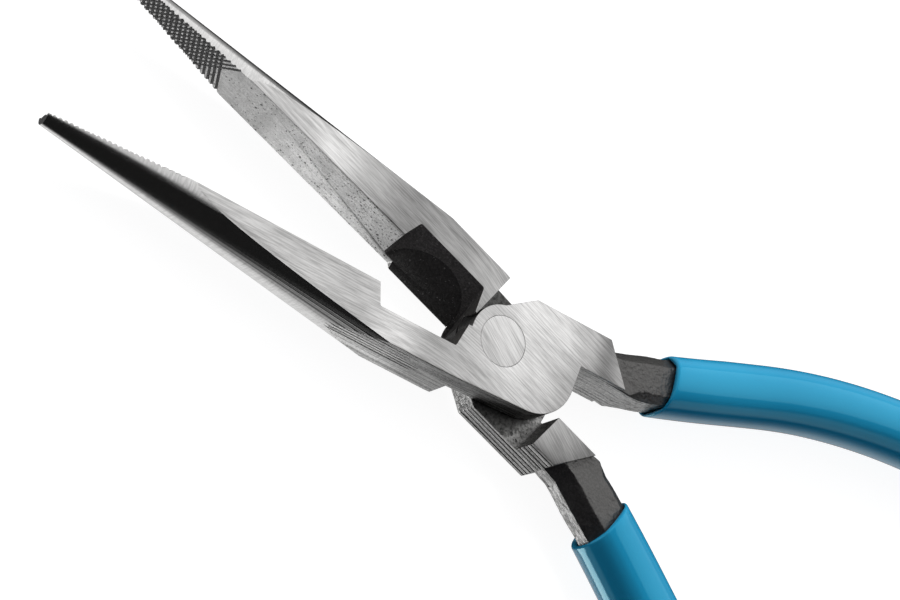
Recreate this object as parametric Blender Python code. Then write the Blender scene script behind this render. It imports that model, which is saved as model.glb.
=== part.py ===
"""Needle nose pliers with side cutters, open on the bench: two forged levers, a rivet and two dipped grips.

The pliers lie flat. +Z is the pivot axis, +X points to the jaw tips and the origin is on the pivot
axis at the rear face of the joint. Each lever is drawn once, in its own frame: x along the jaw, y
towards the jaw's outer side, z from the lap plane towards the boss. The front lever keeps that frame
and swings by half the opening; the rear lever is the same forging turned over about X.
"""
import math

import bmesh
import bpy
from mathutils import Matrix, Vector

MM = 0.001

# Driving dimensions, in millimetres and degrees.
OPENING = 19.0            # angle between the jaws as modelled
JAW_REACH = 85.4          # pivot axis to the jaw tip
HALF_THICK = 5.0          # half the joint's thickness
HALF_WIDTH = 9.75         # pivot axis to a jaw's outer side at the joint
GAP = 0.3                 # clearance between pieces that touch on the real tool
OVERRUN = 1.0             # cutters run past what they cut by this
RIVET_GAP = 0.1           # running clearance round the rivet

GRIP_OFFSET_PIVOT = 1.06  # gripping face to the centre line, extended to the pivot
GRIP_OFFSET_TIP = 0.17    # the same at the tip: the tips meet first
TIP_RADIUS = 1.7          # the round back of a jaw is a cone about the gripping face
CONE_END_X = 19.0         # where the cone runs out into the full bar

POCKET_NEAR_X = 24.45     # cutter pocket, edge on the gripping face
POCKET_FAR_X = 8.2        # its inner corner, near the joint
POCKET_END_X = 6.9        # where it ends at the centre line on the open face
POCKET_END_LOW_X = 5.5    # the same at the cutting edge
POCKET_WALL_LEAN = 1.3    # its near wall leans by this from the gripping face to the inner corner
POCKET_DEPTH_Y = 4.9      # how far the pocket runs into each jaw
POCKET_CROSS_Y = 4.0      # how far its cutter reaches past the centre line
CUT_EDGE_Y = 0.15         # cutting edge to the centre line
CUT_EDGE_DEPTH = 9.5      # cutting edge below the open face
BLADE_NEAR_X = 20.2       # where the cutting edge begins
BLADE_STEP_X = 0.7        # length of the step from there up to the gripping face

BOSS_RADIUS = 6.2         # arc of the boss that the other jaw's end clears
JAW_END = 6.5             # pivot axis to the full-thickness jaw's end face
JAW_END_TILT = 6.8        # that face leans by this much, in degrees
BOSS_ARC_START = -78.0    # the arc begins at this angle, near the boss's straight back
BOSS_CORNER_X = -4.3      # where the boss meets that back
LOBE_RADIUS = 15.6        # reach of the boss towards the handles
LOBE_ROUND = 7.7          # radius of the lobe's outer corner
LOBE_CENTRE = (-7.35, 1.5)
SHOULDER = 15.9           # pivot axis to the full-thickness shoulder
SHOULDER_TILT = 9.3
STEP_OUTER_X = -19.7      # the shoulder's step down to the tang, outer and inner end
STEP_INNER_X = -24.8
HANDLE_INNER_Y = -2.6     # inner side of the shoulder

RIVET_RADIUS = 4.33       # at the ground faces
SHANK_RADIUS = 3.7
FLARE_DEPTH = 1.4

HANDLE_START = (-17.5, -3.6)   # where the handle's centre line leaves the shoulder
HANDLE_BEND = ((0, 17.5), (12, 17.5), (30, 20.5), (38, 20.0), (53, 13.0), (78, 2.5), (100, -5.0), (130, -5.0))
TANG_OUTER = ((0, 5.8), (7, 4.25), (13, 4.4), (30, 4.2), (130, 4.0))     # centre line to the outer side
TANG_INNER = ((0, 0.9), (8, 3.85), (12, 4.25), (18, 4.4), (40, 4.1), (130, 4.0))
TANG_HALF_THICK = 4.2
OUTER_FLAT = 1.5          # half the height of the tang's narrow outer edge
OUTER_CHAMFER = 2.1       # width of the wide chamfers beside it
INNER_CHAMFER = ((0, 0.2), (8, 0.2), (11, 1.4), (130, 1.7))     # width of the chamfers on the inner side
CHAMFER_DROP = 0.84       # their depth for each unit of width
TANG_LENGTH = 103.6       # along its bend
TANG_END = 1.2            # the last stretch, which tapers
TANG_TAPER = 0.75         # by this much
FRONT_MOUTH = 16.8        # where each grip begins, along the handle's centre line
REAR_MOUTH = 17.4
GRIP_OUTER = ((0, 5.1), (12, 5.4), (130, 5.4))     # by distance from the mouth
GRIP_INNER = 5.4
GRIP_HALF_THICK = 6.0
GRIP_CORNER = 4.9
GRIP_TAIL = 2.4           # grip beyond the tang's end
TAIL_ROUND = 6.0          # length of its round end
TAIL_FLAT = 0.93          # how far towards a point that end runs
LIP_DEPTH = 0.6           # the rounded edge at the mouth: along the handle and across
LIP_INSET = 0.2
MOUTH_SLANT = 0.25        # the mouth reaches further up the lever on the inner side

ARC_STEP = 7.5            # degrees between points on arcs


def along(stations, distance):
    """Value at a distance, read from (distance, value) stations joined by straight lines."""
    for (near, first), (far, last) in zip(stations, stations[1:]):
        if distance <= far:
            return first + (last - first) * (distance - near) / (far - near)
    return stations[-1][1]


def handle_line(distance, step=0.5):
    """Point on the handle's centre line and its outward normal, by distance along the line.

    HANDLE_BEND gives the line's heading, in degrees away from -X.
    """
    x, y = HANDLE_START
    run = 0.0
    while run < distance - 1e-9:
        piece = min(step, distance - run)
        heading = math.radians(along(HANDLE_BEND, run + piece / 2))
        x -= piece * math.cos(heading)
        y -= piece * math.sin(heading)
        run += piece
    heading = math.radians(along(HANDLE_BEND, distance))
    return Vector((x, y)), Vector((math.sin(heading), -math.cos(heading)))


def arc(centre, radius, start, end):
    """Points on an arc from start to end, in degrees."""
    count = max(2, math.ceil(abs(end - start) / ARC_STEP))
    angles = (math.radians(start + (end - start) * i / count) for i in range(count + 1))
    return [(centre[0] + radius * math.cos(a), centre[1] + radius * math.sin(a)) for a in angles]


def grip_face_y(x):
    """Height of the gripping face above the centre line."""
    return GRIP_OFFSET_PIVOT + (GRIP_OFFSET_TIP - GRIP_OFFSET_PIVOT) * x / JAW_REACH


# ---- meshes -------------------------------------------------------------------------------------

def new_object(name, mesh):
    obj = bpy.data.objects.new(name, mesh)
    bpy.context.scene.collection.objects.link(obj)
    return obj


def mesh_from(name, build):
    """Mesh made by build(bm) in millimetres, scaled to metres with its faces pointing out."""
    bm = bmesh.new()
    build(bm)
    bmesh.ops.recalc_face_normals(bm, faces=bm.faces)
    bmesh.ops.scale(bm, vec=(MM, MM, MM), verts=bm.verts)
    mesh = bpy.data.meshes.new(name)
    bm.to_mesh(mesh)
    bm.free()
    return mesh


def prism(bm, outline, low, high):
    """Closed prism over an outline in the XY plane."""
    base = bm.faces.new([bm.verts.new((x, y, low)) for x, y in outline])
    sides = bmesh.ops.extrude_face_region(bm, geom=[base])
    top = [v for v in sides["geom"] if isinstance(v, bmesh.types.BMVert)]
    bmesh.ops.translate(bm, vec=(0, 0, high - low), verts=top)


def hull(bm, points):
    for point in points:
        bm.verts.new(point)
    bmesh.ops.convex_hull(bm, input=bm.verts)


def loft(bm, rings):
    """Closed skin through rings of equal length, with flat ends."""
    loops = [[bm.verts.new(point) for point in ring] for ring in rings]
    for low, high in zip(loops, loops[1:]):
        for i, vert in enumerate(low):
            j = (i + 1) % len(low)
            bm.faces.new((vert, low[j], high[j], high[i]))
    bm.faces.new(reversed(loops[0]))
    bm.faces.new(loops[-1])


def turned(bm, profile, segments, axis="Z"):
    """Closed solid of revolution through (radius, height) pairs."""
    rings = []
    for radius, height in profile:
        ring = []
        for i in range(segments):
            angle = 2 * math.pi * i / segments
            u, v = radius * math.cos(angle), radius * math.sin(angle)
            ring.append((u, v, height) if axis == "Z" else (height, u, v))
        rings.append(ring)
    loft(bm, rings)


def boolean(obj, other, operation):
    """Apply a Boolean with another object and drop that object."""
    modifier = obj.modifiers.new(operation.lower(), "BOOLEAN")
    modifier.operation = operation
    modifier.solver = "EXACT"
    modifier.object = other
    bpy.context.view_layer.update()
    result = bpy.data.meshes.new_from_object(obj.evaluated_get(bpy.context.evaluated_depsgraph_get()))
    obj.modifiers.clear()
    obj.data = result
    bpy.data.objects.remove(other)


def cutter(name, build):
    obj = new_object(name, mesh_from(name, build))
    obj.hide_render = True
    obj.display_type = "WIRE"
    return obj


# ---- the lever's outlines -----------------------------------------------------------------------

def plate_outline():
    """Plan of the jaw, the boss and the shoulder, anticlockwise from the jaw tip's inner corner."""
    neck_x = -math.sqrt(LOBE_RADIUS ** 2 - HANDLE_INNER_Y ** 2)
    boss_start = math.degrees(math.asin(CUT_EDGE_Y / BOSS_RADIUS))
    points = [(JAW_REACH, HALF_WIDTH), (JAW_END, HALF_WIDTH)]
    points += arc(LOBE_CENTRE, LOBE_ROUND, 90, 180)
    points += [(neck_x, HANDLE_INNER_Y)]
    points += [(STEP_INNER_X, HANDLE_INNER_Y), (STEP_OUTER_X, -HALF_WIDTH), (BOSS_CORNER_X, -HALF_WIDTH)]
    points += arc((0, 0), BOSS_RADIUS, BOSS_ARC_START, boss_start)
    points += [(BLADE_NEAR_X, CUT_EDGE_Y), (BLADE_NEAR_X + BLADE_STEP_X, grip_face_y(BLADE_NEAR_X))]
    points += [(JAW_REACH, grip_face_y(JAW_REACH))]
    return points


def lap_outline():
    """Plan of what is cut away behind the boss, between the jaw's end face and the shoulder."""
    reach = 4 * HALF_WIDTH
    lean = math.tan(math.radians(JAW_END_TILT)) * reach
    slant = math.tan(math.radians(SHOULDER_TILT)) * reach
    jaw = JAW_END / math.cos(math.radians(JAW_END_TILT))
    back = -SHOULDER / math.cos(math.radians(SHOULDER_TILT))
    return [(jaw - lean, reach), (back - slant, reach), (back + slant, -reach), (jaw + lean, -reach)]


def pocket_points(side):
    """Corners of the cutter pocket, open towards side * z, down to the cutting edge."""
    face = HALF_THICK + OVERRUN / 2
    deep = HALF_THICK - CUT_EDGE_DEPTH
    near = POCKET_NEAR_X - POCKET_WALL_LEAN
    top = [(POCKET_NEAR_X, -POCKET_CROSS_Y), (POCKET_NEAR_X, grip_face_y(POCKET_NEAR_X)),
           (near, POCKET_DEPTH_Y), (POCKET_FAR_X, POCKET_DEPTH_Y),
           (POCKET_END_X, CUT_EDGE_Y), (POCKET_END_X, -POCKET_CROSS_Y)]
    low = [(x, y) for x in (near, POCKET_END_LOW_X) for y in (-POCKET_CROSS_Y, CUT_EDGE_Y)]
    return [(x, y, side * face) for x, y in top] + [(x, y, side * deep) for x, y in low]


def jaw_envelope(bm):
    """The cone that rounds the jaw's back, opening into a wide drum behind CONE_END_X."""
    drum = 2 * JAW_REACH
    full = math.hypot(HALF_WIDTH - grip_face_y(CONE_END_X), HALF_THICK)
    slope = (full - TIP_RADIUS) / (JAW_REACH - CONE_END_X) * OVERRUN
    profile = [(TIP_RADIUS - slope, JAW_REACH + OVERRUN), (full + slope, CONE_END_X - OVERRUN),
               (drum, CONE_END_X - 2 * OVERRUN), (drum, -drum)]
    turned(bm, profile, 72, axis="X")
    toe_in = Matrix.Rotation(math.atan2(GRIP_OFFSET_TIP - GRIP_OFFSET_PIVOT, JAW_REACH), 4, "Z")
    bmesh.ops.transform(bm, matrix=Matrix.Translation((0, GRIP_OFFSET_PIVOT, 0)) @ toe_in, verts=bm.verts)


# ---- handle sections ----------------------------------------------------------------------------

def tang_ring(distance, grow=0.0, shrink=1.0):
    """Eight-sided forged section: narrow outer edge, wide chamfers and a flat front and back."""
    centre, normal = handle_line(distance)
    outer = along(TANG_OUTER, distance) + grow
    inner = along(TANG_INNER, distance) + grow
    thick = TANG_HALF_THICK + grow
    chamfer = along(INNER_CHAMFER, distance)
    corner = 0.4 * grow   # how far growing moves the corner of a flat and a chamfer
    edge = OUTER_FLAT + corner
    side = TANG_HALF_THICK - CHAMFER_DROP * chamfer + corner
    half = [(outer, edge), (outer - OUTER_CHAMFER, thick), (chamfer - inner, thick), (-inner, side)]
    section = half + [(across, -up) for across, up in reversed(half)]
    return [(*(centre + normal * across * shrink), up * shrink) for across, up in section]


def tang(bm):
    steps = 28
    rings = [tang_ring((TANG_LENGTH - TANG_END) * i / steps) for i in range(steps + 1)]
    loft(bm, rings + [tang_ring(TANG_LENGTH, shrink=TANG_TAPER)])


def grip_ring(distance, mouth, shrink=1.0, lip=0.0, slant=0.0, corners=7):
    """Rounded rectangle across the handle's centre line, leaning by slant along it."""
    outer = along(GRIP_OUTER, distance - mouth)
    shift = (outer - GRIP_INNER) / 2
    half_width = (outer + GRIP_INNER) / 2 * shrink - lip
    half_thick = GRIP_HALF_THICK * shrink - lip
    radius = GRIP_CORNER * shrink - lip
    ring = []
    for turn, (side, face) in enumerate(((1, 1), (-1, 1), (-1, -1), (1, -1))):
        for i in range(corners):
            angle = math.radians(90 * turn + 90 * i / (corners - 1))
            across = shift + side * (half_width - radius) + radius * math.cos(angle)
            up = face * (half_thick - radius) + radius * math.sin(angle)
            centre, normal = handle_line(distance + slant * across)
            ring.append((*(centre + normal * across), up))
    return ring


def grip_skin(bm, mouth):
    """Outside of the dipped grip, with a slanted mouth and a round tail."""
    end = TANG_LENGTH + GRIP_TAIL
    first, last, steps = mouth + LIP_DEPTH, end - TAIL_ROUND, 20
    rings = [grip_ring(mouth, mouth, lip=LIP_INSET, slant=MOUTH_SLANT)]
    for i in range(steps + 1):
        fading = MOUTH_SLANT * max(0.0, 1 - i / 4)
        rings.append(grip_ring(first + (last - first) * i / steps, mouth, slant=fading))
    for i in range(1, 7):
        share = math.sin(math.radians(15 * i))
        shrink = math.sqrt(1 - (TAIL_FLAT * share) ** 2)
        rings.append(grip_ring(last + TAIL_ROUND * share, mouth, shrink=shrink))
    loft(bm, rings)


def grip_core(bm, mouth):
    """Room inside the grip for the tang, open at the mouth."""
    start, end, steps = mouth - 4 * OVERRUN, TANG_LENGTH + GAP, 24
    loft(bm, [tang_ring(start + (end - start) * i / steps, grow=GAP) for i in range(steps + 1)])


# ---- pieces -------------------------------------------------------------------------------------

def rivet_profile(gap=0.0, overrun=0.0):
    """Half section of the rivet: a straight shank flared into both ground faces."""
    reach = HALF_THICK + overrun
    flare = (RIVET_RADIUS - SHANK_RADIUS) / FLARE_DEPTH * overrun
    return [(RIVET_RADIUS + gap + flare, -reach), (SHANK_RADIUS + gap, -HALF_THICK + FLARE_DEPTH),
            (SHANK_RADIUS + gap, HALF_THICK - FLARE_DEPTH), (RIVET_RADIUS + gap + flare, reach)]


def lever(name, pocket_side):
    """One forged half: jaw, boss, shoulder and tang."""
    obj = new_object(name, mesh_from(name, lambda bm: prism(bm, plate_outline(), -HALF_THICK, HALF_THICK)))
    boolean(obj, cutter("jaw_cone", jaw_envelope), "INTERSECT")
    lap = cutter("lap", lambda bm: prism(bm, lap_outline(), -HALF_THICK - OVERRUN, GAP / 2))
    boolean(obj, lap, "DIFFERENCE")
    boolean(obj, new_object("tang", mesh_from("tang", tang)), "UNION")
    boolean(obj, cutter("pocket", lambda bm: hull(bm, pocket_points(pocket_side))), "DIFFERENCE")
    hole = cutter("hole", lambda bm: turned(bm, rivet_profile(RIVET_GAP, OVERRUN / 2), 48))
    boolean(obj, hole, "DIFFERENCE")
    return obj


def grip(name, mouth):
    obj = new_object(name, mesh_from(name, lambda bm: grip_skin(bm, mouth)))
    boolean(obj, cutter("core", lambda bm: grip_core(bm, mouth)), "DIFFERENCE")
    return obj


def rivet(name):
    return new_object(name, mesh_from(name, lambda bm: turned(bm, rivet_profile(), 48)))


def material(name, colour, roughness, metallic):
    mat = bpy.data.materials.new(name)
    mat.use_nodes = True
    shader = mat.node_tree.nodes["Principled BSDF"]
    shader.inputs["Base Color"].default_value = (*colour, 1)
    shader.inputs["Roughness"].default_value = roughness
    shader.inputs["Metallic"].default_value = metallic
    return mat


def finish(obj, mat, parent, smooth=False):
    obj.data.materials.clear()
    obj.data.materials.append(mat)
    if smooth:
        obj.data.shade_smooth()
        obj.data.set_sharp_from_angle(angle=math.radians(32))
    obj.parent = parent


def half_frame(name, turn):
    """Empty on the pivot axis at the lap plane, which one half of the pliers is drawn in."""
    empty = bpy.data.objects.new(name, None)
    empty.matrix_world = Matrix.Translation((0, 0, HALF_THICK * MM)) @ turn
    bpy.context.scene.collection.objects.link(empty)
    return empty


def main():
    for obj in list(bpy.data.objects):
        bpy.data.objects.remove(obj)
    swing = math.radians(OPENING / 2)
    front = half_frame("front_half", Matrix.Rotation(swing, 4, "Z"))
    rear = half_frame("rear_half", Matrix.Rotation(-swing, 4, "Z") @ Matrix.Rotation(math.pi, 4, "X"))
    front_steel = material("front_steel", (0.62, 0.61, 0.59), 0.35, 1.0)
    rear_steel = material("rear_steel", (0.58, 0.57, 0.55), 0.38, 1.0)
    rivet_steel = material("rivet_steel", (0.66, 0.65, 0.63), 0.3, 1.0)
    front_dip = material("front_dip", (0.02, 0.25, 0.5), 0.15, 0.0)
    rear_dip = material("rear_dip", (0.02, 0.24, 0.48), 0.15, 0.0)
    finish(lever("front_lever", 1), front_steel, front)
    finish(lever("rear_lever", -1), rear_steel, rear)
    finish(rivet("rivet"), rivet_steel, front, smooth=True)
    finish(grip("front_grip", FRONT_MOUTH), front_dip, front, smooth=True)
    finish(grip("rear_grip", REAR_MOUTH), rear_dip, rear, smooth=True)


main()
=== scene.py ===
"""Looks of the needle nose pliers: fine levers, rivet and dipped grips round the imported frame.

Each half is drawn in its own frame, in millimetres: x along the jaw, y towards the jaw's outer side and
z from the lap plane towards the boss. The front half keeps that frame and swings by half the opening; the
rear half is the same forging turned over about x.
"""

import math
import random
from functools import partial

import bmesh
import bpy
from mathutils import Matrix, Vector, noise

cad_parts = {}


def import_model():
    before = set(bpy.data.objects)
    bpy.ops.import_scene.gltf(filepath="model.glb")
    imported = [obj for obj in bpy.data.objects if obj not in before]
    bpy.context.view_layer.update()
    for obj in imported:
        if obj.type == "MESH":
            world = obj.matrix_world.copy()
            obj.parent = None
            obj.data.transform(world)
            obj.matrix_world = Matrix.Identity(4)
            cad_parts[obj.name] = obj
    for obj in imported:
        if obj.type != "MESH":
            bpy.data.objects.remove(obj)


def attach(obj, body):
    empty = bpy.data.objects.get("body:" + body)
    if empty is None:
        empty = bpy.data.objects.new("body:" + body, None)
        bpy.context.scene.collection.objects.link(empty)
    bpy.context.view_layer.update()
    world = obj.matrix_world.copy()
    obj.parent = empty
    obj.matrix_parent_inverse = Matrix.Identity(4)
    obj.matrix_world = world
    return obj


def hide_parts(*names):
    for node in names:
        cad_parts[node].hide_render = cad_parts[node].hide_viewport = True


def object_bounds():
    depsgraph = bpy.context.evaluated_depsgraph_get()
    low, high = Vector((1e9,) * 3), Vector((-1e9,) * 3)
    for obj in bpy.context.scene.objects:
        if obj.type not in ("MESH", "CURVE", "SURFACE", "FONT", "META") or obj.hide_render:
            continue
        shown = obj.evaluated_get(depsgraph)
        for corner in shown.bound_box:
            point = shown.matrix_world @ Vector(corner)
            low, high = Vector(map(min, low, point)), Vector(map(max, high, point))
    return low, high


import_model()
cad_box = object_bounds()

MM = 0.001

# The lever's dimensions, in millimetres and degrees.
OPENING = 19.0            # angle between the jaws at rest
JAW_REACH = 85.4          # pivot axis to the jaw tip
HALF_THICK = 5.0          # half the joint's thickness
HALF_WIDTH = 9.75         # pivot axis to a jaw's outer side
LAP_GAP = 0.15            # lap plane to each boss
RIM = 0.12                # rounding of the plate's rims
OVERRUN = 1.0             # cutters run past what they cut by this
CONE_SEGMENTS = 144       # sides of the jaw's cone
ROUND_SEGMENTS = 96       # sides of the rivet, its hole and the bevel disc
CORNER_POINTS = 4         # points on each rounded corner of a section

GRIP_OFFSET_PIVOT = 1.06  # gripping face to the centre line, extended to the pivot
GRIP_OFFSET_TIP = 0.17    # the same at the tip
TIP_RADIUS = 1.7          # the round back of a jaw is a cone about the gripping face
CONE_END_X = 19.0         # where the cone runs out into the full bar

POCKET_NEAR_X = 24.45     # cutter pocket, edge on the gripping face
POCKET_FAR_X = 8.2        # its inner corner, near the joint
POCKET_END_X = 6.9        # where it ends at the centre line on the open face
POCKET_END_LOW_X = 5.5    # the same at the cutting edge
POCKET_WALL_LEAN = 1.3    # its near wall leans by this from the gripping face to the inner corner
POCKET_DEPTH_Y = 4.9      # how far the pocket runs into each jaw
POCKET_CROSS_Y = 4.0      # how far its cutter reaches past the centre line
POCKET_CORNER = 0.35      # radius of its corners
CUT_EDGE_Y = 0.15         # cutting edge to the centre line
CUT_EDGE_DEPTH = 9.5      # cutting edge below the open face
BLADE_NEAR_X = 20.2       # where the cutting edge begins
BLADE_STEP_X = 0.7        # length of the step from there up to the gripping face
BEVEL_DISC = (14.6, 8.3)  # centre x and radius of the round bevel ground to the cutting edge
BEVEL_STEP = 0.14         # depth of that bevel below the pocket's slope

BOSS_RADIUS = 6.2         # arc of the boss that the other jaw's end clears
JAW_END = 6.5             # pivot axis to the jaw's end face
JAW_END_TILT = 6.8
BOSS_ARC_START = -78.0    # the arc begins at this angle, near the boss's straight back
BOSS_CORNER_X = -4.3      # where the boss meets that back
LOBE_RADIUS = 15.6        # reach of the boss towards the handles
LOBE_ROUND = 7.7          # radius of the lobe's outer corner
LOBE_CENTRE = (-7.35, 1.5)
SHOULDER = 15.9           # pivot axis to the shoulder
SHOULDER_TILT = 9.3
STEP_OUTER_X = -19.7      # the shoulder's step down to the tang, outer and inner end
STEP_INNER_X = -24.8
HANDLE_INNER_Y = -2.6     # inner side of the shoulder

RIVET_RADIUS = 4.33       # at the ground faces
SHANK_RADIUS = 3.7
FLARE_DEPTH = 1.4
RIVET_SEAM = 0.05         # the hairline round the rivet's head
RIVET_HAIR = ((0.10, 0.0), (0.03, 0.02), (0.0, 0.08))     # its rims' rounding, in from the side and the face

HANDLE_START = (-17.5, -3.6)   # where the handle's centre line leaves the shoulder
HANDLE_LINE_STEP = 0.5         # step along that line

# Stations along the handle: distance along its centre line, and a heading in degrees or a length.
HANDLE_BEND = ((0, 17.5), (12, 17.5), (30, 20.5), (38, 20.0), (53, 13.0), (78, 2.5), (100, -5.0), (130, -5.0))
TANG_OUTER = ((0, 5.8), (7, 4.25), (13, 4.4), (30, 4.2), (130, 4.0))     # centre line to the outer side
TANG_INNER = ((0, 0.9), (8, 3.85), (12, 4.25), (18, 4.4), (40, 4.1), (130, 4.0))     # and to the inner side
INNER_CHAMFER = ((0, 0.2), (8, 0.2), (11, 1.4), (130, 1.7))     # width of the chamfers on the inner side

TANG_HALF_THICK = 4.2
OUTER_FLAT = 1.5          # half the height of the tang's narrow outer edge
OUTER_CHAMFER = 2.1       # width of the wide chamfers beside it
CHAMFER_DROP = 0.84       # depth of the inner side's chamfers for each unit of width
TANG_ROUND = 0.28         # radius of the tang's corners,
CORNER_SHARE = 0.4        # but no more than this share of the chamfer
CORNER_GROW = 0.4         # growing the section by 1 moves its corners by this
EDGE_POINTS = 4           # points along each side of the section
TANG_LENGTH = 103.6       # along its bend
TANG_END = 1.2            # the last stretch, which tapers
TANG_TAPER = 0.75         # to this share of its size
TANG_SHOWN = 24.0         # the stretch that is outside the grip, or just inside its mouth
SHOWN_RINGS = 60          # rings along that stretch
HIDDEN_RINGS = 26         # and along the rest
SKIN_WAVES = ((0.45, 0.10), (1.6, 0.04))     # the tang's uneven skin: waves per millimetre and height
SKIN_SINK = 0.03          # it lies below the section by this
SKIN_END_X = -46.0        # and ends here, inside the grip

FRONT_MOUTH = 16.8        # where each grip begins, along the handle's centre line
REAR_MOUTH = 17.4
GRIP_OUTER = ((0, 5.1), (12, 5.4), (130, 5.4))     # by distance from the mouth
GRIP_INNER = 5.4
GRIP_HALF_THICK = 6.0
GRIP_SQUARENESS = 2.35    # 2 is an ellipse, more is squarer
GRIP_TAIL = 2.4           # grip beyond the tang's end
TAIL_ROUND = 6.0          # length of its round end
TAIL_FLAT = 0.985         # how far towards a point that end runs
LIP = 0.42                # how far the lip is rounded along the handle
LIP_FUNNEL = 0.8          # and how far inside it meets the tang
GRIP_FIT = 0.1            # vinyl to tang
MOUTH_SLANT = 0.25        # slant of the mouth across the handle
SLANT_FADE = 18.0         # the outer skin loses that slant over this length
TAIL_RINGS = 9            # rings on the round tail,
SKIN_RINGS = 64           # along the outer skin,
LIP_RINGS = 10            # round the lip
BORE_RINGS = 24           # and along the inner skin,
SLANTED_RINGS = 4         # where only the first ones are slanted

# Knurling: each set of grooves crosses the gripping face along x = start + lean * z, seen from the front.
KNURL_SETS = (
    dict(start=63.84, lean=0.50, depth=0.34, half_width=0.28),
    dict(start=65.1, lean=-0.60, depth=0.28, half_width=0.25),
)
KNURL_PITCH = 1.0

# Grinding grooves: on the jaw's outer side and on the shoulder's.
GRIND_COMBS = (
    dict(ends=(10.0, 31.5), outward=1, heights=(-0.6, 4.4), pitch=0.85, depth=0.3),
    dict(ends=(-27.0, -2.0), outward=-1, heights=(-4.3, 4.5), pitch=1.15, depth=0.35),
)
# Each groove draws its own values within these ranges.
GRIND_HALF = (0.11, 0.18)      # half width, as a share of the pitch
GRIND_SPACING = (0.8, 1.2)     # step to the next groove, as a share of the pitch
GRIND_DEEP = (0.6, 1.0)        # depth, as a share of the comb's
GRIND_START = (0, 0.2)         # late start, as a share of the length
GRIND_FADE = 0.15              # each groove's ends run out over this share of its length,
GRIND_SHALLOW = 0.02           # to this share of its depth

GROOVE_PROUD = 0.4        # groove cutters stand out of the face by this share of their depth
ARC_STEP = 3.0            # degrees between points on arcs
SHARP_ANGLE = 30.0        # edges that turn by more than this many degrees stay sharp

# Surfaces of a forging, in the order of its material slots.
GROUND, POLISHED, PITTED, ROUGH, MILLED, BEVELLED, SCALE, GROOVE, KNURLED, LAPPED = range(10)

# Limits that sort the surfaces by how far a face's normal points up or sideways.
UPRIGHT = 0.25
STEEP = 0.5
SIDEWAYS = 0.9

# Painted light and shade on the ground faces and edges: grey tone along x, as (x, tone) stations,
# that stands in for the studio's reflections on them. The first table is for the face on the boss's side,
# the second for the other one.
BOSS_PAINTED_LIGHT = ((-24, 0.54), (-20, 0.31), (-16, 0.64), (-10, 0.84), (-4, 0.86), (4, 0.68), (12, 0.51),
              (19, 0.86), (27, 0.62), (36, 0.64), (52, 0.66), (86, 0.80))
POCKET_PAINTED_LIGHT = ((-24, 0.27), (-19, 0.44), (-12, 0.58), (8, 0.52), (15, 0.41), (26, 0.34), (34, 0.56),
                (42, 0.86), (52, 0.64), (86, 0.76))
# One even tone for the rivet, with no painted light.
RIVET_TONES = ((-5, 0.80), (5, 0.80))
# Painted light and shade along x on the ground edges.
EDGE_PAINTED_LIGHT = ((-28, 0.60), (-12, 0.60), (-4, 0.56), (2, 0.42), (10, 0.50), (19, 1.0), (34, 1.0))

# Grinding strokes lean below this x by this slope.
JAW_LEAN = (9.0, 0.36)
RIVET_LEAN = (20.0, 0.75)
LEAN_BLEND = 12.0         # the bend between straight and leaning strokes is this soft

# The studio's light. Lobes: direction, full within and nothing beyond so many degrees, and brightness.
LIGHT_LOBES = (
    ((-0.34, -0.52, 0.78), 30, 34, 0.83),     # over the far side, with a brighter middle
    ((-0.34, -0.52, 0.78), 0, 34, 0.34),
    ((-0.32, -0.93, 0.15), 12, 42, 0.42),     # low behind it
    ((-0.38, 0.15, -0.91), 4, 44, 0.92),      # from below, with one narrow strong lamp
    ((0.10, 0.55, -0.83), 18, 34, 0.48),
    ((0.24, 0.47, -0.85), 8, 11, 3.8),
    ((0.80, -0.50, 0.25), 35, 75, 0.60),      # from the sides
    ((-0.82, 0.50, 0.15), 12, 26, 0.60),
)
DARK_SIDE = 0.012         # brightness everywhere else
# Suns: direction, width in degrees, power and colour.
SUNS = (
    ((0.30, -0.70, 0.65), 24, 2.15, (1.0, 1.0, 1.0)),
    ((0.20, 0.75, 0.60), 90, 0.26, (1.0, 0.94, 1.15)),
)
WALL_TONE = 0.96          # the wall that the camera sees
FLOOR_TONE = 0.22         # the floor's own tone, and how much it glows
FLOOR_GLOW = 0.93
FLOOR_SIZE = 6.0          # metres
FLOOR_DROP = 0.0002       # the floor lies this far below the part, in metres


# ---- outlines -----------------------------------------------------------------------------------

def along(stations, distance):
    """Value at a distance, read from (distance, value) stations joined by straight lines."""
    for (near, first), (far, last) in zip(stations, stations[1:]):
        if distance <= far:
            return first + (last - first) * (distance - near) / (far - near)
    return stations[-1][1]


def handle_line(distance):
    """Point on the handle's centre line and its outward normal, by distance along the line."""
    x, y = HANDLE_START
    run = 0.0
    while run < distance - 1e-9:
        piece = min(HANDLE_LINE_STEP, distance - run)
        heading = math.radians(along(HANDLE_BEND, run + piece / 2))
        x -= piece * math.cos(heading)
        y -= piece * math.sin(heading)
        run += piece
    heading = math.radians(along(HANDLE_BEND, distance))
    return Vector((x, y)), Vector((math.sin(heading), -math.cos(heading)))


def arc(centre, radius, start, end):
    """Points on an arc from start to end, in degrees."""
    count = max(2, math.ceil(abs(end - start) / ARC_STEP))
    angles = (math.radians(start + (end - start) * i / count) for i in range(count + 1))
    return [(centre[0] + radius * math.cos(a), centre[1] + radius * math.sin(a)) for a in angles]


def grip_face_y(x):
    """Height of the gripping face above the centre line."""
    return GRIP_OFFSET_PIVOT + (GRIP_OFFSET_TIP - GRIP_OFFSET_PIVOT) * x / JAW_REACH


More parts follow.
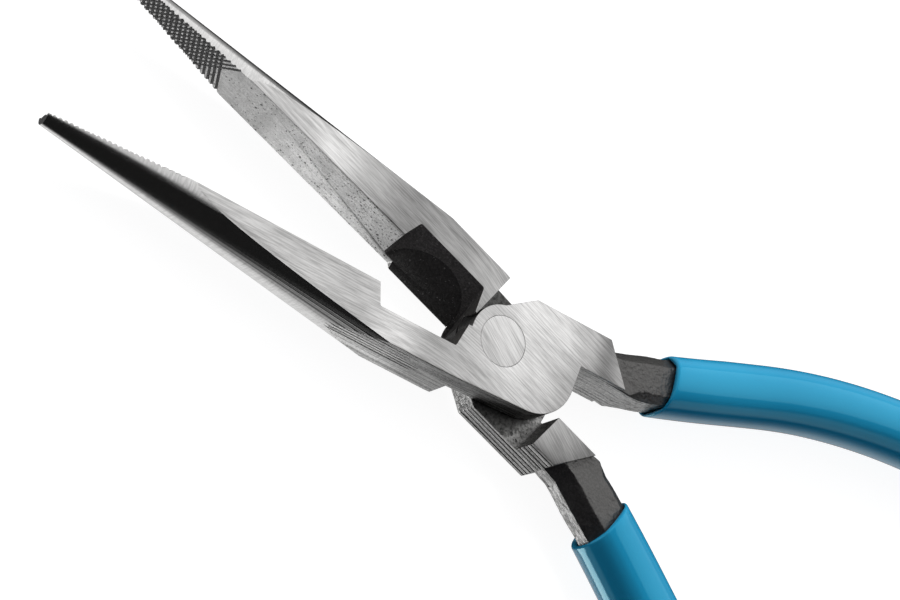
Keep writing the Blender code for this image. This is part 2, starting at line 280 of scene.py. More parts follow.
def plate_outline():
    """Plan of the jaw, the boss and the shoulder, anticlockwise from the jaw tip's outer corner."""
    neck_x = -math.sqrt(LOBE_RADIUS ** 2 - HANDLE_INNER_Y ** 2)
    boss_start = math.degrees(math.asin(CUT_EDGE_Y / BOSS_RADIUS))
    points = [(JAW_REACH, HALF_WIDTH), (JAW_END, HALF_WIDTH)]
    points += arc(LOBE_CENTRE, LOBE_ROUND, 90, 180)
    points += [(neck_x, HANDLE_INNER_Y)]
    points += [(STEP_INNER_X, HANDLE_INNER_Y), (STEP_OUTER_X, -HALF_WIDTH), (BOSS_CORNER_X, -HALF_WIDTH)]
    points += arc((0, 0), BOSS_RADIUS, BOSS_ARC_START, boss_start)
    points += [(BLADE_NEAR_X, CUT_EDGE_Y), (BLADE_NEAR_X + BLADE_STEP_X, grip_face_y(BLADE_NEAR_X))]
    points += [(JAW_REACH, grip_face_y(JAW_REACH))]
    return points


def lap_outline():
    """Plan of what is cut away behind the boss, between the jaw's end face and the shoulder."""
    reach = 40.0
    lean = math.tan(math.radians(JAW_END_TILT)) * reach
    slant = math.tan(math.radians(SHOULDER_TILT)) * reach
    jaw = JAW_END / math.cos(math.radians(JAW_END_TILT))
    back = -SHOULDER / math.cos(math.radians(SHOULDER_TILT))
    return [(jaw - lean, reach), (back - slant, reach), (back + slant, -reach), (jaw + lean, -reach)]


def rounded(corners, radius, per_corner, per_edge):
    """A closed outline with its corners rounded and extra points along its edges."""
    points = []
    count = len(corners)
    for i, corner in enumerate(corners):
        here = Vector(corner)
        before = Vector(corners[i - 1])
        after = Vector(corners[(i + 1) % count])
        enter = here + (before - here).normalized() * radius
        leave = here + (after - here).normalized() * radius
        for k in range(per_corner):
            t = k / (per_corner - 1)
            points.append(enter * (1 - t) ** 2 + here * 2 * t * (1 - t) + leave * t ** 2)
        arrive = after + (here - after).normalized() * radius
        points += [leave.lerp(arrive, (k + 1) / (per_edge + 1)) for k in range(per_edge)]
    return points


# ---- mesh helpers -------------------------------------------------------------------------------

def new_object(name, data):
    """Object with the given mesh, light or camera, linked to the scene."""
    obj = bpy.data.objects.new(name, data)
    bpy.context.scene.collection.objects.link(obj)
    return obj


def solid(name, build, surface=GROUND, materials=None):
    """Object with the closed mesh that build(bm) makes, in millimetres, all of one surface.

    Its materials are the forging's, unless others are given.
    """
    bm = bmesh.new()
    build(bm)
    bmesh.ops.recalc_face_normals(bm, faces=bm.faces)
    for face in bm.faces:
        face.material_index = surface
    mesh = bpy.data.meshes.new(name)
    bm.to_mesh(mesh)
    bm.free()
    for material in materials or forging_materials:
        mesh.materials.append(material)
    return new_object(name, mesh)


def prism(bm, outline, low, high, rim=0.0):
    """Closed prism over an outline in the XY plane, with its sharp edges rounded by rim."""
    base = bm.faces.new([bm.verts.new((x, y, low)) for x, y in outline])
    sides = bmesh.ops.extrude_face_region(bm, geom=[base])
    top = [v for v in sides["geom"] if isinstance(v, bmesh.types.BMVert)]
    bmesh.ops.translate(bm, vec=(0, 0, high - low), verts=top)
    if rim:
        bmesh.ops.recalc_face_normals(bm, faces=bm.faces)
        sharp = [e for e in bm.edges if e.calc_face_angle(0) > math.radians(25)]
        bmesh.ops.bevel(bm, geom=sharp, offset=rim, segments=2, profile=0.5, affect="EDGES")


def hull(bm, points):
    """Convex solid round some points."""
    for point in points:
        bm.verts.new(point)
    bmesh.ops.convex_hull(bm, input=bm.verts)


def loft(bm, rings):
    """Closed skin through rings of equal length, with flat ends."""
    loops = [[bm.verts.new(point) for point in ring] for ring in rings]
    for low, high in zip(loops, loops[1:]):
        for i, vert in enumerate(low):
            j = (i + 1) % len(low)
            bm.faces.new((vert, low[j], high[j], high[i]))
    bm.faces.new(reversed(loops[0]))
    bm.faces.new(loops[-1])


def turned(bm, profile, segments, axis="Z"):
    """Closed solid of revolution through (radius, height) pairs."""
    rings = []
    for radius, height in profile:
        ring = []
        for i in range(segments):
            angle = 2 * math.pi * i / segments
            u, v = radius * math.cos(angle), radius * math.sin(angle)
            ring.append((u, v, height) if axis == "Z" else (height, u, v))
        rings.append(ring)
    loft(bm, rings)


def boolean(obj, other, operation):
    """Apply a Boolean with another object and drop that object. New faces keep the other's surface."""
    modifier = obj.modifiers.new(operation.lower(), "BOOLEAN")
    modifier.operation = operation
    modifier.solver = "EXACT"
    modifier.material_mode = "INDEX"
    modifier.object = other
    bpy.context.view_layer.update()
    result = bpy.data.meshes.new_from_object(obj.evaluated_get(bpy.context.evaluated_depsgraph_get()))
    obj.modifiers.clear()
    obj.data = result
    bpy.data.objects.remove(other)


# ---- the forging --------------------------------------------------------------------------------

def jaw_envelope(bm):
    """The cone that rounds the jaw's back, opening into a wide drum behind CONE_END_X."""
    drum = 200.0
    full = math.hypot(HALF_WIDTH - grip_face_y(CONE_END_X), HALF_THICK)
    slope = (full - TIP_RADIUS) / (JAW_REACH - CONE_END_X)
    profile = [(TIP_RADIUS - slope, JAW_REACH + 1), (full + slope, CONE_END_X - 1), (drum, CONE_END_X - 2),
               (drum, -drum)]
    turned(bm, profile, CONE_SEGMENTS, axis="X")
    toe_in = Matrix.Rotation(math.atan2(GRIP_OFFSET_TIP - GRIP_OFFSET_PIVOT, JAW_REACH), 4, "Z")
    bmesh.ops.transform(bm, matrix=Matrix.Translation((0, GRIP_OFFSET_PIVOT, 0)) @ toe_in, verts=bm.verts)


def pocket(bm, side):
    """Cutter pocket, open towards side * z and sloping down to the cutting edge."""
    face = HALF_THICK + OVERRUN / 2
    deep = HALF_THICK - CUT_EDGE_DEPTH
    near = POCKET_NEAR_X - POCKET_WALL_LEAN
    corners = [(POCKET_NEAR_X, -POCKET_CROSS_Y), (POCKET_NEAR_X, grip_face_y(POCKET_NEAR_X)),
               (near, POCKET_DEPTH_Y), (POCKET_FAR_X, POCKET_DEPTH_Y),
               (POCKET_END_X, CUT_EDGE_Y), (POCKET_END_X, -POCKET_CROSS_Y)]
    top = rounded(corners, POCKET_CORNER, CORNER_POINTS, 0)
    low = [(x, y) for x in (near, POCKET_END_LOW_X) for y in (-POCKET_CROSS_Y, CUT_EDGE_Y)]
    hull(bm, [(x, y, side * face) for x, y in top] + [(x, y, side * deep) for x, y in low])


def bevel_disc(bm, side):
    """Round bevel ground into the pocket's slope, down to the cutting edge."""
    centre_x, radius = BEVEL_DISC
    turned(bm, [(radius, -BEVEL_STEP), (radius, radius)], ROUND_SEGMENTS)
    slope = math.atan2(POCKET_DEPTH_Y - CUT_EDGE_Y, CUT_EDGE_DEPTH + OVERRUN / 2)
    lean = Matrix.Rotation(math.pi / 2 - side * slope, 4, "X")
    move = Matrix.Translation((centre_x, CUT_EDGE_Y, side * (HALF_THICK - CUT_EDGE_DEPTH)))
    bmesh.ops.transform(bm, matrix=move @ lean, verts=bm.verts)


def knurl_grooves(bm, side, start, lean, depth, half_width):
    """One set of V grooves across the gripping face, from start out to the jaw tip.

    They lean as given on the half whose pocket is open towards +z, and the other way on the other half.
    """
    lean *= side
    reach = HALF_THICK + 1.5 * OVERRUN
    count = math.ceil((JAW_REACH + reach * abs(lean) - start) / KNURL_PITCH)
    half = half_width * math.sqrt(1 + lean ** 2)
    for i in range(count):
        middle = start + KNURL_PITCH * i
        rings = []
        for z in (-reach, reach):
            x = middle + lean * z
            y = grip_face_y(x)
            flare, proud = (1 + GROOVE_PROUD) * half, GROOVE_PROUD * depth
            rings.append([(x - flare, y - proud, z), (x, y + depth, z), (x + flare, y - proud, z)])
        loft(bm, rings)


def side_grooves(bm, ends, outward, heights, pitch, depth, seed):
    """Grinding grooves along a side face, from one end of x to the other, each of its own depth."""
    y = outward * HALF_WIDTH
    draw = random.Random(seed)
    z, high = heights
    while z < high:
        half = pitch * draw.uniform(*GRIND_HALF)
        deep = depth * draw.uniform(*GRIND_DEEP)
        start = ends[0] + draw.uniform(*GRIND_START) * (ends[1] - ends[0])
        flare, proud = (1 + GROOVE_PROUD) * half, outward * GROOVE_PROUD * deep
        stages = ((0.0, GRIND_SHALLOW), (GRIND_FADE, 1.0),
                  (1.0 - GRIND_FADE, draw.uniform(*GRIND_DEEP)), (1.0, GRIND_SHALLOW))
        rings = []
        for share, sink in stages:
            x = start + (ends[1] - start) * share
            bottom = y - outward * deep * sink
            rings.append([(x, y + proud, z - flare), (x, bottom, z), (x, y + proud, z + flare)])
        loft(bm, rings)
        z += pitch * draw.uniform(*GRIND_SPACING)


def tang_section(distance, grow=0.0):
    """Forged section: narrow outer edge, wide chamfers and a flat front and back."""
    outer = along(TANG_OUTER, distance) + grow
    inner = along(TANG_INNER, distance) + grow
    thick = TANG_HALF_THICK + grow
    chamfer = along(INNER_CHAMFER, distance)
    corner = CORNER_GROW * grow
    edge = OUTER_FLAT + corner
    side = TANG_HALF_THICK - CHAMFER_DROP * chamfer + corner
    half = [(outer, edge), (outer - OUTER_CHAMFER, thick), (chamfer - inner, thick), (-inner, side)]
    corners = half + [(across, -up) for across, up in reversed(half)]
    return rounded(corners, min(TANG_ROUND, CORNER_SHARE * chamfer), CORNER_POINTS, EDGE_POINTS)


def tang_ring(distance, grow=0.0, shrink=1.0, slant=0.0):
    """The tang's section in space, grown or shrunk, and slanted along the handle."""
    ring = []
    for across, up in tang_section(distance, grow):
        centre, normal = handle_line(distance + slant * across)
        ring.append(Vector((*(centre + normal * across * shrink), up * shrink)))
    return ring


def tang(bm):
    """Forged handle with a lightly uneven skin where it shows."""
    fine = [TANG_SHOWN * i / SHOWN_RINGS for i in range(SHOWN_RINGS + 1)]
    last = TANG_LENGTH - TANG_END
    coarse = [TANG_SHOWN + (last - TANG_SHOWN) * i / HIDDEN_RINGS for i in range(1, HIDDEN_RINGS + 1)]
    loft(bm, [tang_ring(d) for d in fine + coarse] + [tang_ring(TANG_LENGTH, shrink=TANG_TAPER)])
    bm.normal_update()
    for vert in bm.verts:
        if SKIN_END_X < vert.co.x < STEP_OUTER_X:
            wave = sum(noise.noise(vert.co * often) * height for often, height in SKIN_WAVES)
            vert.co += vert.normal * (wave - SKIN_SINK)


def sort_surfaces(mesh):
    """Give the plate's ground edges and the tang's trimmed ones the surface that each has."""
    for face in mesh.polygons:
        x = face.center.x
        sideways, up = face.normal.y, abs(face.normal.z)
        if face.material_index == SCALE and up < UPRIGHT:
            face.material_index = ROUGH
        elif face.material_index != GROUND:
            continue
        elif sideways < -SIDEWAYS and x > BLADE_NEAR_X:
            face.material_index = PITTED
        elif up < STEEP and (x < -1 or (sideways > SIDEWAYS and x > 0)):
            face.material_index = ROUGH


def lever(name, pocket_side):
    """One forged half: jaw, boss, shoulder and tang. Its pocket is open towards pocket_side * z."""
    obj = solid(name, lambda bm: prism(bm, plate_outline(), -HALF_THICK, HALF_THICK, RIM))
    boolean(obj, solid("jaw_cone", jaw_envelope, POLISHED), "INTERSECT")
    lap = solid("lap", lambda bm: prism(bm, lap_outline(), -HALF_THICK - OVERRUN, LAP_GAP), LAPPED)
    boolean(obj, lap, "DIFFERENCE")
    boolean(obj, solid("tang", tang, SCALE), "UNION")
    boolean(obj, solid("pocket", lambda bm: pocket(bm, pocket_side), MILLED), "DIFFERENCE")
    boolean(obj, solid("bevel_disc", lambda bm: bevel_disc(bm, pocket_side), BEVELLED), "DIFFERENCE")
    hole = solid("hole", lambda bm: turned(bm, rivet_profile(RIVET_SEAM, OVERRUN / 2), ROUND_SEGMENTS))
    boolean(obj, hole, "DIFFERENCE")
    sort_surfaces(obj.data)
    for knurl in KNURL_SETS:
        build = partial(knurl_grooves, side=pocket_side, **knurl)
        boolean(obj, solid("knurl", build, KNURLED), "DIFFERENCE")
    for seed, comb in enumerate(GRIND_COMBS):
        build = partial(side_grooves, seed=seed, **comb)
        boolean(obj, solid("comb", build, GROOVE), "DIFFERENCE")
    return obj


# ---- rivet and grips ----------------------------------------------------------------------------

def rivet_profile(gap=0.0, overrun=0.0):
    """Half section of the rivet or its hole: a straight shank flared into both ground faces."""
    reach = HALF_THICK + overrun
    flare = (RIVET_RADIUS - SHANK_RADIUS) / FLARE_DEPTH * overrun
    return [(RIVET_RADIUS + gap + flare, -reach), (SHANK_RADIUS + gap, -HALF_THICK + FLARE_DEPTH),
            (SHANK_RADIUS + gap, HALF_THICK - FLARE_DEPTH), (RIVET_RADIUS + gap + flare, reach)]


def rivet(bm):
    """Rivet with a hair of rounding where its heads meet the ground faces."""
    (head, low), (shank, neck), *_ = rivet_profile()
    half = [(head - side, low + face) for side, face in RIVET_HAIR] + [(shank, neck)]
    turned(bm, half + [(radius, -height) for radius, height in reversed(half)], ROUND_SEGMENTS)


def grip_ring(distance, mouth, shrink=1.0, slant=0.0):
    """Near-round section of the dip, on the same rays as the tang's points."""
    outer = along(GRIP_OUTER, distance - mouth)
    shift = (outer - GRIP_INNER) / 2
    wide = (outer + GRIP_INNER) / 2 * shrink
    tall = GRIP_HALF_THICK * shrink
    ring = []
    for across, up in tang_section(distance):
        angle = math.atan2(up, across)
        reach = abs(math.cos(angle) / wide) ** GRIP_SQUARENESS
        reach += abs(math.sin(angle) / tall) ** GRIP_SQUARENESS
        reach **= -1 / GRIP_SQUARENESS
        across, up = shift + reach * math.cos(angle), reach * math.sin(angle)
        centre, normal = handle_line(distance + slant * across)
        ring.append(Vector((*(centre + normal * across), up)))
    return ring


def lip_ring(mouth, angle):
    """Section of the rolled lip: 0 degrees is on the outer skin, 180 inside against the tang."""
    turn = math.radians(angle)
    depth = LIP if angle < 90 else LIP_FUNNEL
    at = mouth + depth * (1 - math.sin(turn))
    outside = grip_ring(at, mouth, slant=MOUTH_SLANT)
    inside = tang_ring(at, GRIP_FIT, slant=MOUTH_SLANT)
    return [outer.lerp(inner, (1 - math.cos(turn)) / 2) for outer, inner in zip(outside, inside)]


def grip(bm, mouth):
    """Dipped grip: outer skin from the round tail to the rolled lip, then the inner skin along the tang."""
    last = TANG_LENGTH + GRIP_TAIL - TAIL_ROUND
    rings = []
    for i in range(TAIL_RINGS, 0, -1):
        share = math.sin(math.radians(90 * i / TAIL_RINGS))
        shrink = math.sqrt(1 - (TAIL_FLAT * share) ** 2)
        rings.append(grip_ring(last + TAIL_ROUND * share, mouth, shrink=shrink))
    for i in range(SKIN_RINGS, 0, -1):
        at = mouth + LIP + (last - mouth - LIP) * i / SKIN_RINGS
        rings.append(grip_ring(at, mouth, slant=MOUTH_SLANT * max(0.0, 1 - (at - mouth) / SLANT_FADE)))
    rings += [lip_ring(mouth, 180 * i / LIP_RINGS) for i in range(LIP_RINGS + 1)]
    first = mouth + 2 * LIP_FUNNEL
    for i in range(BORE_RINGS + 1):
        at = first + (TANG_LENGTH + 2 * GRIP_FIT - first) * i / BORE_RINGS
        rings.append(tang_ring(at, GRIP_FIT, slant=MOUTH_SLANT * max(0.0, 1 - i / SLANTED_RINGS)))
    loft(bm, rings)


# ---- materials ----------------------------------------------------------------------------------

class Nodes:
    """Short-hand for building a node tree. A value may be a number, a vector or another node's output."""

    def __init__(self, tree):
        self.tree = tree

    def put(self, socket, value):
        if isinstance(value, bpy.types.NodeSocket):
            self.tree.links.new(value, socket)
        else:
            socket.default_value = value

    def add(self, kind, inputs=(), **attributes):
        """New node. Its inputs are given by name, or in order from the first one."""
        node = self.tree.nodes.new(kind)
        for name, value in attributes.items():
            setattr(node, name, value)
        for key, value in inputs.items() if isinstance(inputs, dict) else enumerate(inputs):
            self.put(node.inputs[key], value)
        return node

    def math(self, operation, *values):
        return self.add("ShaderNodeMath", values, operation=operation).outputs["Value"]

    def vector(self, operation, *values):
        """The node of a vector operation."""
        return self.add("ShaderNodeVectorMath", values, operation=operation)

    def steps(self, value, low, high, start=0.0, end=1.0, kind="SMOOTHSTEP"):
        """value from low..high to start..end, held outside."""
        inputs = {"Value": value, "From Min": low, "From Max": high, "To Min": start, "To Max": end}
        return self.add("ShaderNodeMapRange", inputs, interpolation_type=kind).outputs["Result"]


class Paint(Nodes):
    """A node material on object coordinates, in millimetres. Its methods return node outputs."""

    def __init__(self, name, **shader):
        self.material = bpy.data.materials.new(name)
        self.material.use_nodes = True
        super().__init__(self.material.node_tree)
        self.shader = self.tree.nodes["Principled BSDF"]
        for socket, value in shader.items():
            self.shader.inputs[socket.replace("_", " ")].default_value = value
        self.place = self.add("ShaderNodeTexCoord").outputs["Object"]
        self.place = self.scaled((1 / MM,) * 3)

    def scaled(self, scale):
        return self.add("ShaderNodeMapping", {"Vector": self.place, "Scale": scale}).outputs["Vector"]

    def lean(self, start, slope):
        """Lean the strokes below x = start by slope, towards opposite edges on the front and on the back."""
        below = self.math("SMOOTH_MIN", self.math("SUBTRACT", self.axis("X"), start), 0.0, LEAN_BLEND)
        slope = self.steps(self.axis("Z"), -0.5, 0.5, -slope, slope)
        shift = self.add("ShaderNodeCombineXYZ", {"Y": self.math("MULTIPLY", below, slope)})
        self.place = self.vector("ADD", self.place, shift.outputs["Vector"]).outputs["Vector"]

    def axis(self, name):
        return self.add("ShaderNodeSeparateXYZ", {"Vector": self.place}).outputs[name]

    def noise(self, scale, detail=2.0, rough=0.5):
        """Noise of so many waves a millimetre along each axis."""
        inputs = {"Vector": self.scaled(scale), "Scale": 1.0, "Detail": detail, "Roughness": rough}
        return self.add("ShaderNodeTexNoise", inputs).outputs["Fac"]

    def tones(self, stations):
        """Grey tone by x in millimetres, smooth between (x, tone) stations."""
        low, high = stations[0][0], stations[-1][0]
        share = self.steps(self.axis("X"), low, high, kind="LINEAR")
        ramp = self.add("ShaderNodeValToRGB", {"Fac": share})
        ramp.color_ramp.interpolation = "EASE"
        while len(ramp.color_ramp.elements) < len(stations):
            ramp.color_ramp.elements.new(0.5)
        for element, (x, _) in zip(ramp.color_ramp.elements, stations):
            element.position = (x - low) / (high - low)
        for element, (_, tone) in zip(ramp.color_ramp.elements, stations):
            element.color = (tone, tone, tone, 1)
        return ramp.outputs["Color"]

    def mix(self, share, first, second, blend="MIX"):
        """Mix of two colours, each a node output or an RGB triple."""
        node = self.add("ShaderNodeMix", data_type="RGBA", blend_type=blend)
        self.put(node.inputs["Factor"], share)
        for name, colour in (("A", first), ("B", second)):
            self.put(node.inputs[name], colour if isinstance(colour, bpy.types.NodeSocket) else (*colour, 1))
        return node.outputs["Result"]

    def pits(self, size, share, edge=0.12):
        """1 inside scattered pits: size is their spacing and share how many of the places hold one."""
        widest = 0.42     # radius of the largest pits, as a share of their spacing
        wobble = self.noise((1.5, 1.5, 1.5))
        wobble = self.add("ShaderNodeCombineXYZ", {"X": wobble, "Y": wobble}).outputs["Vector"]
        bent = self.vector("ADD", self.scaled((1 / size,) * 3), wobble).outputs["Vector"]
        cells = self.add("ShaderNodeTexVoronoi", {"Vector": bent, "Scale": 1.0})
        chance = self.add("ShaderNodeSeparateColor", {"Color": cells.outputs["Color"]}).outputs["Red"]
        reach = self.steps(chance, self.math("SUBTRACT", 1.0, share), 1.0, 0.0, widest)
        inside = self.math("SUBTRACT", reach, cells.outputs["Distance"])
        return self.steps(inside, 0.0, edge)

    def finish(self, colour, roughness, height, relief):
        """Set the base colour, the roughness and the bump: relief is its full height in millimetres."""
        bump = self.add("ShaderNodeBump", {"Height": height, "Strength": 1.0, "Distance": relief * MM})
        self.put(self.shader.inputs["Base Color"], colour)
        self.put(self.shader.inputs["Roughness"], roughness)
        self.put(self.shader.inputs["Normal"], bump.outputs["Normal"])
        return self.material


def ground_steel(name, lean, boss, pocket):
    """Bright ground steel. Its strokes run along x and then lean, and its tone along x follows (x, tone)
    stations.

    lean is where they begin to lean and by what slope; boss and pocket are the tones of the two faces,
    painted light and shade on the levers and one even tone on the rivet.
    """
    paint = Paint(name, Metallic=1.0)
    paint.lean(*lean)
    hair = paint.noise((0.20, 4.2, 4.2), detail=4.0, rough=0.65)
    streak = paint.noise((0.10, 1.5, 1.5), detail=3.0, rough=0.6)
    cloud = paint.noise((0.12, 0.25, 0.25), detail=1.0)
    shade = paint.steps(hair, 0.38, 0.64, 0.0, 0.55)
    shade = paint.math("ADD", shade, paint.steps(streak, 0.40, 0.68, 0.0, 0.30))
    shade = paint.math("ADD", shade, paint.steps(cloud, 0.35, 0.7, 0.0, 0.15))
    front = paint.steps(paint.axis("Z"), -1.0, 1.0)
    # Painted light and shade: on the levers these tones by x stand in for the reflections on each face.
    tone = paint.mix(front, paint.tones(pocket), paint.tones(boss))
    steel = paint.mix(shade, (1.0, 0.992, 0.984), (0.54, 0.535, 0.53))
    colour = paint.mix(1.0, tone, steel, "MULTIPLY")
    height = paint.math("ADD", paint.math("MULTIPLY", hair, 0.7), paint.math("MULTIPLY", streak, 0.3))
    return paint.finish(colour, paint.steps(hair, 0.2, 0.8, 0.27, 0.42), height, 0.014)


def polished_steel(name):
    """The round back of the jaw, finished with fine hairs across it."""
    paint = Paint(name, Metallic=1.0)
    hair = paint.noise((2.8, 0.35, 0.35), detail=4.0, rough=0.65)
    colour = paint.mix(paint.steps(hair, 0.36, 0.66), (0.66, 0.655, 0.65), (0.55, 0.546, 0.542))
    return paint.finish(colour, paint.steps(hair, 0.3, 0.7, 0.17, 0.23), hair, 0.003)


def pitted_steel(name):
    """The gripping face: ground along the jaw over a pitted forging, with most pits near the cutter."""
    paint = Paint(name, Metallic=1.0)
    grain = paint.noise((0.3, 5.0, 5.0), detail=4.0, rough=0.65)
    speck = paint.noise((3.5, 3.5, 3.5), detail=4.0, rough=0.7)
    wide = paint.noise((0.35, 0.35, 0.35), detail=2.0)
    crowd = paint.steps(paint.axis("X"), 60, 26, 0.35, 0.8)
    crowd = paint.math("ADD", crowd, paint.steps(wide, 0.3, 0.7, -0.15, 0.15))
    large = paint.pits(0.65, paint.math("MULTIPLY", crowd, 0.5))
    pits = paint.math("MAXIMUM", large, paint.pits(0.38, crowd))
    shade = paint.steps(grain, 0.3, 0.75, 0.0, 0.5)
    shade = paint.math("ADD", shade, paint.steps(speck, 0.42, 0.72, 0.0, 0.5))
    colour = paint.mix(shade, (0.86, 0.855, 0.85), (0.32, 0.318, 0.315))
    colour = paint.mix(paint.steps(wide, 0.40, 0.7, 0.0, 0.35), colour, (0.36, 0.36, 0.357))
    for low, high, share in ((33, 25, 0.45), (47, 53, 0.4)):     # darker near the cutter and near the tip
        colour = paint.mix(paint.steps(paint.axis("X"), low, high, 0.0, share), colour, (0.30, 0.30, 0.297))
    colour = paint.mix(paint.math("MULTIPLY", pits, 0.85), colour, (0.06, 0.06, 0.058))
    height = paint.math("SUBTRACT", paint.math("MULTIPLY", paint.math("ADD", grain, speck), 0.35), pits)
    return paint.finish(colour, paint.steps(speck, 0.3, 0.7, 0.38, 0.52), height, 0.04)


def rough_steel(name, tones):
    """Coarsely ground and trimmed edges of the forging, striped and grainy, with painted light and shade
    along x from the given tones.
    """
    paint = Paint(name, Metallic=1.0)
    stripe = paint.noise((0.06, 2.3, 2.3), detail=2.0, rough=0.6)
    grain = paint.noise((2.0, 4.0, 4.0), detail=5.0, rough=0.75)
    shade = paint.steps(stripe, 0.40, 0.60, 0.0, 0.6)
    shade = paint.math("ADD", shade, paint.steps(grain, 0.44, 0.62, 0.0, 0.4))
    steel = paint.mix(shade, (0.95, 0.945, 0.935), (0.24, 0.24, 0.237))
    # Painted light and shade along x, multiplied into the striped steel.
    colour = paint.mix(1.0, paint.tones(tones), steel, "MULTIPLY")
    height = paint.math("ADD", stripe, grain)
    return paint.finish(colour, paint.steps(grain, 0.3, 0.7, 0.28, 0.48), height, 0.08)


def lapped_steel(name):
    """The halves' rubbing faces: grey and pitted, with a painted near-black shadow and dark reflection of the
    other half's boss within its reach.
    """
    paint = Paint(name, Metallic=1.0)
    grain = paint.noise((2.0, 2.0, 2.0), detail=5.0, rough=0.7)
    pits = paint.pits(0.7, 0.4)
    blur = paint.math("MULTIPLY", paint.noise((0.6, 0.6, 0.6), detail=4.0), 4.0)
    radius = paint.math("ADD", paint.vector("LENGTH", paint.place).outputs["Value"], blur)
    colour = paint.mix(paint.steps(grain, 0.38, 0.68), (0.44, 0.437, 0.43), (0.15, 0.149, 0.146))
    # Painted shadow and reflection: near-black within about 16 mm of the pivot, where the other half's boss
    # shades the face and is mirrored in it.
    colour = paint.mix(paint.steps(radius, 17.5, 15.5, 0.0, 0.8), colour, (0.035, 0.035, 0.034))
    colour = paint.mix(paint.math("MULTIPLY", pits, 0.7), colour, (0.05, 0.05, 0.049))
    height = paint.math("SUBTRACT", grain, pits)
    return paint.finish(colour, paint.steps(grain, 0.3, 0.7, 0.34, 0.5), height, 0.05)


def milled_black(name, low, high):
    """Black-oxide milled steel, between two tones, with a few bright scuffs."""
    paint = Paint(name, Metallic=0.5)
    grain = paint.noise((2.6, 2.6, 2.6), detail=5.0, rough=0.75)
    scuff = paint.math("MAXIMUM", paint.pits(0.5, 0.16), paint.pits(0.28, 0.10))
    warm = (1.0, 0.96, 0.93)
    colour = paint.mix(paint.steps(grain, 0.4, 0.66), [low * c for c in warm], [high * c for c in warm])
    colour = paint.mix(paint.math("MULTIPLY", scuff, 0.6), colour, (0.34, 0.335, 0.325))
    return paint.finish(colour, paint.steps(grain, 0.3, 0.7, 0.4, 0.58), grain, 0.06)


def forging_scale(name):
    """Dark oiled scale on the tang, wrinkled in patches."""
    paint = Paint(name, Metallic=0.8)
    patch = paint.noise((0.16, 0.16, 0.16), detail=2.0)
    wrinkle = paint.noise((1.5, 1.5, 1.5), detail=1.0)
    grain = paint.noise((3.0, 3.0, 3.0), detail=4.0, rough=0.65)
    colour = paint.mix(paint.steps(grain, 0.35, 0.75), (0.10, 0.098, 0.096), (0.145, 0.143, 0.14))
    wrinkle = paint.math("MULTIPLY", wrinkle, paint.steps(patch, 0.42, 0.62, 0.25, 2.2))
    height = paint.math("ADD", wrinkle, paint.math("MULTIPLY", grain, 0.35))
    return paint.finish(colour, paint.steps(grain, 0.3, 0.7, 0.3, 0.42), height, 0.09)


def groove_steel(name, low, high, rough):
    """Cut grooves, grainy between two tones that are darker than the faces round them."""
    paint = Paint(name, Metallic=1.0)
    grain = paint.noise((3.0, 3.0, 3.0), detail=3.0)
    colour = paint.mix(paint.steps(grain, 0.35, 0.7), [low] * 3, [high] * 3)
    return paint.finish(colour, paint.steps(grain, 0.3, 0.7, rough, rough + 0.14), grain, 0.02)


def dipped_vinyl(name):
    """Glossy blue dip with a slight orange peel. Its highlights are cyan."""
    paint = Paint(name, Specular_IOR_Level=0.8, Specular_Tint=(0.30, 0.90, 1.0, 1.0))
    wide = paint.noise((0.05, 0.05, 0.05), detail=2.0)
    peel = paint.noise((0.3, 0.3, 0.3), detail=2.0)
    colour = paint.mix(paint.steps(wide, 0.3, 0.7), (0.014, 0.29, 0.52), (0.018, 0.32, 0.56))
    return paint.finish(colour, paint.steps(peel, 0.3, 0.7, 0.03, 0.06), peel, 0.006)


# ---- studio -------------------------------------------------------------------------------------

def world():
    """Dark room lit by soft lobes from all round, with a pale wall that only the camera sees."""
    surroundings = bpy.data.worlds.new("studio")
    bpy.context.scene.world = surroundings
    surroundings.use_nodes = True
    sky = Nodes(surroundings.node_tree)
    direction = sky.add("ShaderNodeTexCoord").outputs["Generated"]
    total = DARK_SIDE
    for towards, near, far, strength in LIGHT_LOBES:
        facing = sky.vector("DOT_PRODUCT", direction, Vector(towards).normalized()).outputs["Value"]
        angle = sky.math("ARCCOSINE", facing)
        lobe = sky.steps(angle, math.radians(near), math.radians(far), strength, 0.0)
        total = sky.math("ADD", lobe, total)
    lit = sky.tree.nodes["Background"]
    sky.put(lit.inputs["Color"], (1, 1, 1, 1))
    sky.put(lit.inputs["Strength"], total)
    wall = sky.add("ShaderNodeBackground", {"Color": (WALL_TONE, WALL_TONE, WALL_TONE, 1)})
    to_camera = sky.add("ShaderNodeLightPath").outputs["Is Camera Ray"]
    seen = sky.add("ShaderNodeMixShader", [to_camera, lit.outputs["Background"], wall.outputs["Background"]])
    sky.put(sky.tree.nodes["World Output"].inputs["Surface"], seen.outputs["Shader"])


def floor():
    """A pale light table. Only the camera sees it: the light from below comes from the world."""
    bpy.ops.mesh.primitive_plane_add(size=FLOOR_SIZE, location=(0, 0, cad_box[0][2] - FLOOR_DROP))
    table = bpy.context.object
    table.name = "floor"
    pale = bpy.data.materials.new("pale_floor")
    pale.use_nodes = True
    shader = pale.node_tree.nodes["Principled BSDF"]
    shader.inputs["Base Color"].default_value = (FLOOR_TONE, FLOOR_TONE, FLOOR_TONE, 1)
    shader.inputs["Roughness"].default_value = 0.9
    shader.inputs["Specular IOR Level"].default_value = 0.0
    shader.inputs["Emission Color"].default_value = (1, 1, 1, 1)
    shader.inputs["Emission Strength"].default_value = FLOOR_GLOW
    table.data.materials.append(pale)
    table.visible_diffuse = table.visible_glossy = table.visible_shadow = False


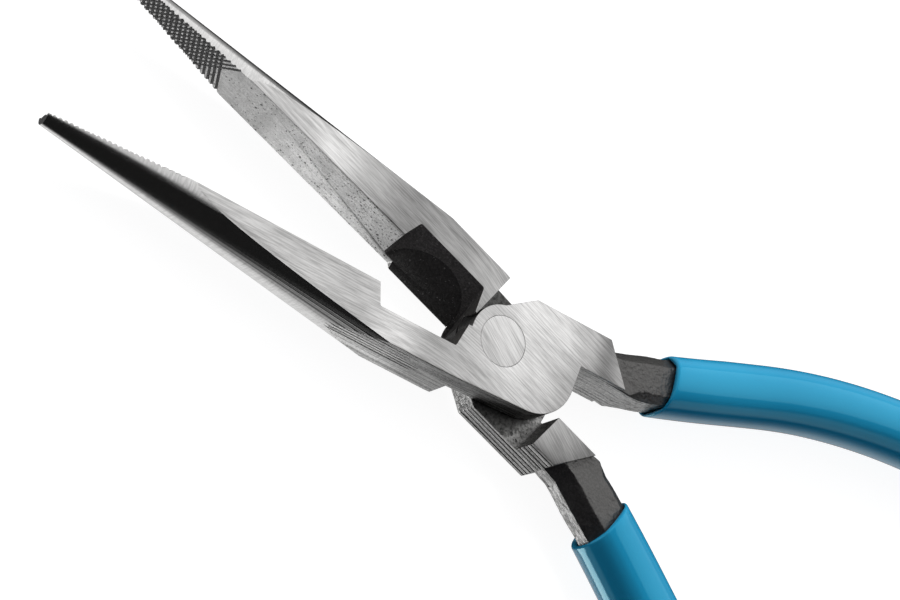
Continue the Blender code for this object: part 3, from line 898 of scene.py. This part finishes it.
def suns():
    """Wide soft lights for the dips. They leave no mirror image in the steel."""
    for towards, width, power, colour in SUNS:
        data = bpy.data.lights.new("soft_sun", "SUN")
        data.energy = power
        data.color = colour
        data.angle = math.radians(width)
        obj = new_object("soft_sun", data)
        obj.rotation_mode = "QUATERNION"
        obj.rotation_quaternion = Vector(towards).to_track_quat("Z", "Y")
        obj.visible_glossy = False


def camera():
    """Long lens above the jaws' +Y side, rolled so that the front jaw runs to the left of the picture.

    Its location and target are in metres.
    """
    location = Vector((0.2004, 0.2605, 0.4662))
    target = Vector((0.0096, -0.0030, 0.0050))
    roll = math.radians(-67.68)
    data = bpy.data.cameras.new("camera")
    data.lens = 137.4
    data.sensor_width = 36.0
    obj = new_object("camera", data)
    look = (target - location).to_track_quat("-Z", "Y").to_matrix().to_4x4()
    obj.matrix_world = Matrix.Translation(location) @ look @ Matrix.Rotation(-roll, 4, "Z")
    bpy.context.scene.camera = obj


# ---- assembly -----------------------------------------------------------------------------------

def place(obj, half, body, node):
    """Scale a finished piece to metres, put it in its half's frame and hand it to the CAD body."""
    obj.data.transform(Matrix.Scale(MM, 4))
    obj.data.shade_smooth()
    obj.data.set_sharp_from_angle(angle=math.radians(SHARP_ANGLE))
    obj.matrix_world = half
    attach(obj, body)
    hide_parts(node)


# One for each surface, from GROUND to LAPPED.
forging_materials = [
    ground_steel("ground_steel", JAW_LEAN, BOSS_PAINTED_LIGHT, POCKET_PAINTED_LIGHT),
    polished_steel("polished_steel"),
    pitted_steel("pitted_steel"),
    rough_steel("rough_steel", EDGE_PAINTED_LIGHT),
    milled_black("milled_black", 0.08, 0.17),
    # Painted shade: the round bevel is a darker copy of the milled black.
    milled_black("bevelled_black_painted_shade", 0.04, 0.08),
    forging_scale("forging_scale"),
    groove_steel("groove_steel", 0.06, 0.16, 0.36),
    groove_steel("knurled_steel", 0.28, 0.50, 0.44),
    lapped_steel("lapped_steel"),
]
vinyl = dipped_vinyl("dipped_vinyl")
rivet_steel = ground_steel("rivet_steel", RIVET_LEAN, RIVET_TONES, RIVET_TONES)

swing = math.radians(OPENING / 2)
lift = Matrix.Translation((0, 0, HALF_THICK * MM))
front_half = lift @ Matrix.Rotation(swing, 4, "Z")
rear_half = lift @ Matrix.Rotation(-swing, 4, "Z") @ Matrix.Rotation(math.pi, 4, "X")

place(lever("front_forging", 1), front_half, "front_half", "front_lever")
place(lever("rear_forging", -1), rear_half, "rear_half", "rear_lever")
joint_rivet = solid("joint_rivet", rivet, materials=[rivet_steel])
place(joint_rivet, front_half, "front_half", "rivet")
front_dip = solid("front_dip", lambda bm: grip(bm, FRONT_MOUTH), materials=[vinyl])
place(front_dip, front_half, "front_half", "front_grip")
rear_dip = solid("rear_dip", lambda bm: grip(bm, REAR_MOUTH), materials=[vinyl])
place(rear_dip, rear_half, "rear_half", "rear_grip")

bpy.context.scene.view_settings.view_transform = "Standard"
world()
floor()
suns()
camera()
